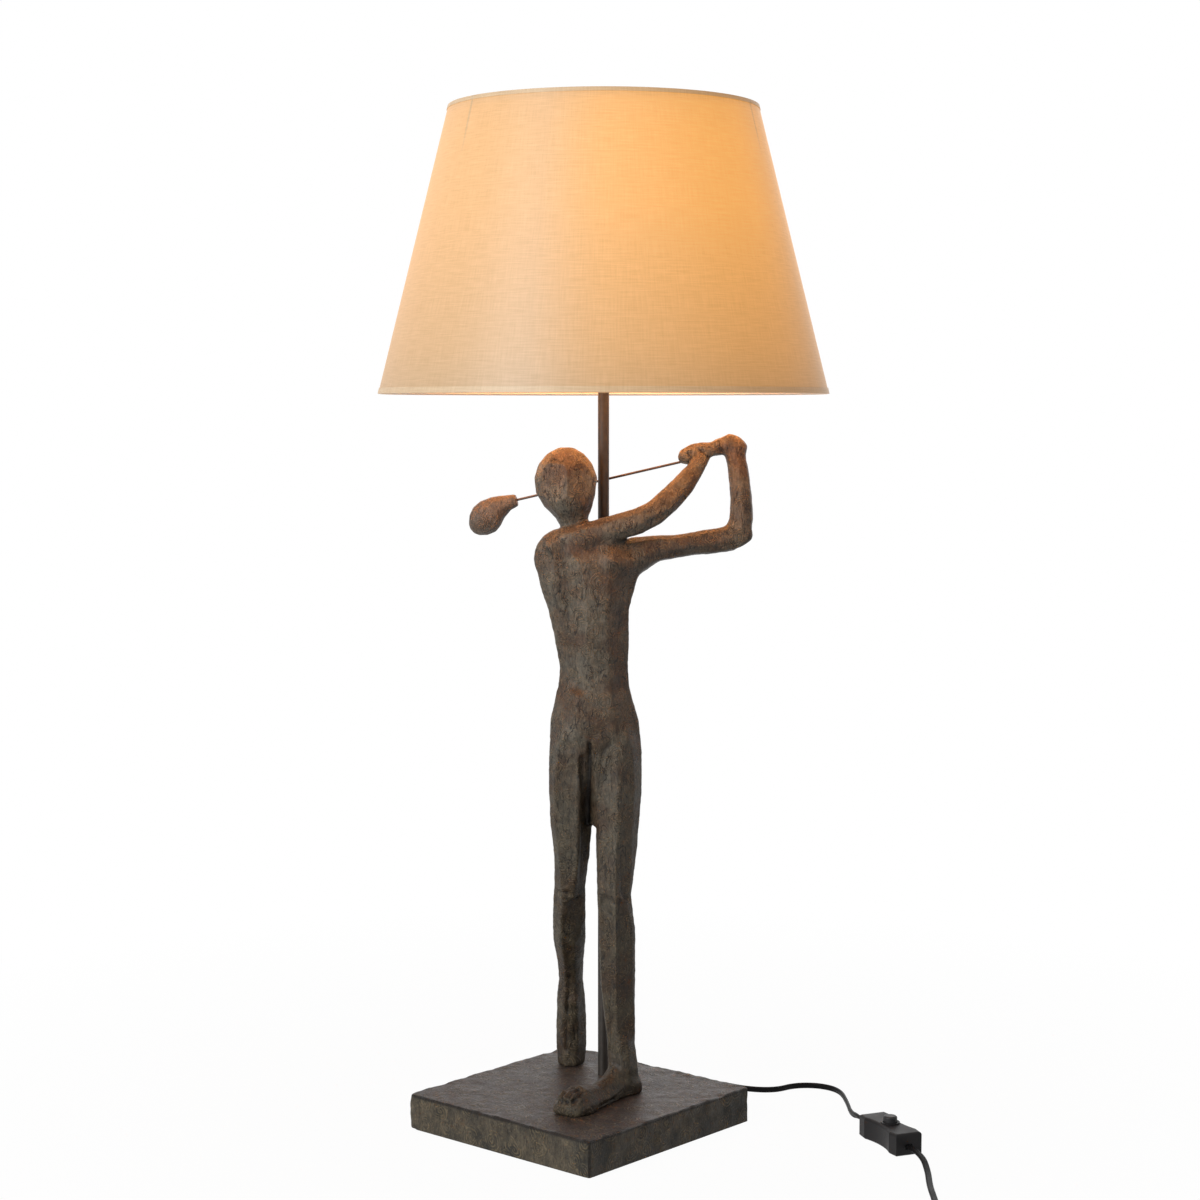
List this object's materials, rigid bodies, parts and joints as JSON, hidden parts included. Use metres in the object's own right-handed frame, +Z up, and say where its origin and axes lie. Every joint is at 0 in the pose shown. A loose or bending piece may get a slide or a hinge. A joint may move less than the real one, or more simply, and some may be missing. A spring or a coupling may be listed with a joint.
{
  "type": "figural table lamp",
  "caption": "Table lamp: cast resin golfer in his follow-through on a square plinth, steel rod, tapered linen shade, inline push switch on a flat black cord.",
  "frame": {"origin": "on the floor, on the common axis of the rod, the lampholder and the shade", "axes": "+Z up along the rod; -Y square to the plinth side that the front foot points at; +X square to the next side, to the figure's left"},
  "size_m": [0.6234, 0.4009, 0.8995],
  "materials": {
    "bronze_resin": "rubbed bronze patina on cast resin",
    "rod_brown": "dark brown, slightly textured",
    "felt": "pressed felt",
    "zinc_steel": "zinc plated",
    "holder_plastic": "moulded, satin",
    "holder_core": "unglazed ceramic white",
    "contact_brass": "plain",
    "bulb_cap_metal": "satin",
    "bulb_collar_plastic": "satin",
    "bulb_diffuser": "frosted",
    "linen": "plain weave with slubs",
    "hem_tape": "woven tape",
    "shade_wire": "white enamel",
    "cord_black": "satin",
    "switch_plastic": "satin",
    "button_plastic": "satin",
    "plug_plastic": "satin",
    "pin_nickel": "nickel plated"
  },
  "bodies": {
    "lamp": {"plinth": "bronze_resin", "golfer_casting": "bronze_resin", "club_head": "bronze_resin", "support_rod": "rod_brown", "club_shaft": "rod_brown", "plinth_felt": "felt", "rod_washer": "zinc_steel", "rod_nut": "zinc_steel", "figure_screws": "zinc_steel", "switch_screws": "zinc_steel", "lampholder_cap": "holder_plastic", "lampholder_sleeve": "holder_plastic", "lower_ring_nut": "holder_plastic", "lampholder_core": "holder_core", "lampholder_screw_shell": "contact_brass", "lampholder_contact": "contact_brass", "lead_in_rod": "cord_black", "strain_relief": "cord_black", "cord_to_switch": "cord_black", "cord_to_coil": "cord_black", "cord_coil": "cord_black", "cord_to_plug": "cord_black", "switch_lower_shell": "switch_plastic", "switch_upper_shell": "switch_plastic", "plug_body": "plug_plastic", "plug_pins": "pin_nickel"},
    "shade": {"shade_cloth": "linen", "shade_top_hem": "hem_tape", "shade_bottom_hem": "hem_tape", "shade_bottom_ring": "shade_wire", "shade_spider": "shade_wire"},
    "ring_nut": {"upper_ring_nut": "holder_plastic"},
    "bulb": {"bulb_contact": "contact_brass", "bulb_cap": "bulb_cap_metal", "bulb_collar": "bulb_collar_plastic", "bulb_globe": "bulb_diffuser"},
    "button": {"switch_button": "button_plastic"}
  },
  "joints": [
    {"name": "shade_turn", "type": "hinge", "parent": "lamp", "child": "shade", "pos_m": [0, 0, 0.764], "axis": [0, 0, 1], "continuous": true},
    {"name": "ring_nut_turn", "type": "hinge", "parent": "lamp", "child": "ring_nut", "pos_m": [0, 0, 0.7688], "axis": [0, 0, 1], "continuous": true},
    {"name": "bulb_turn", "type": "hinge", "parent": "lamp", "child": "bulb", "pos_m": [0, 0, 0.766], "axis": [0, 0, 1], "continuous": true},
    {"name": "switch_press", "type": "slide", "parent": "lamp", "child": "button", "axis": [0, 0, -1], "range_m": [0, 0.0025], "stiffness_N_per_m": 300, "springref_m": -0.001}
  ]
}
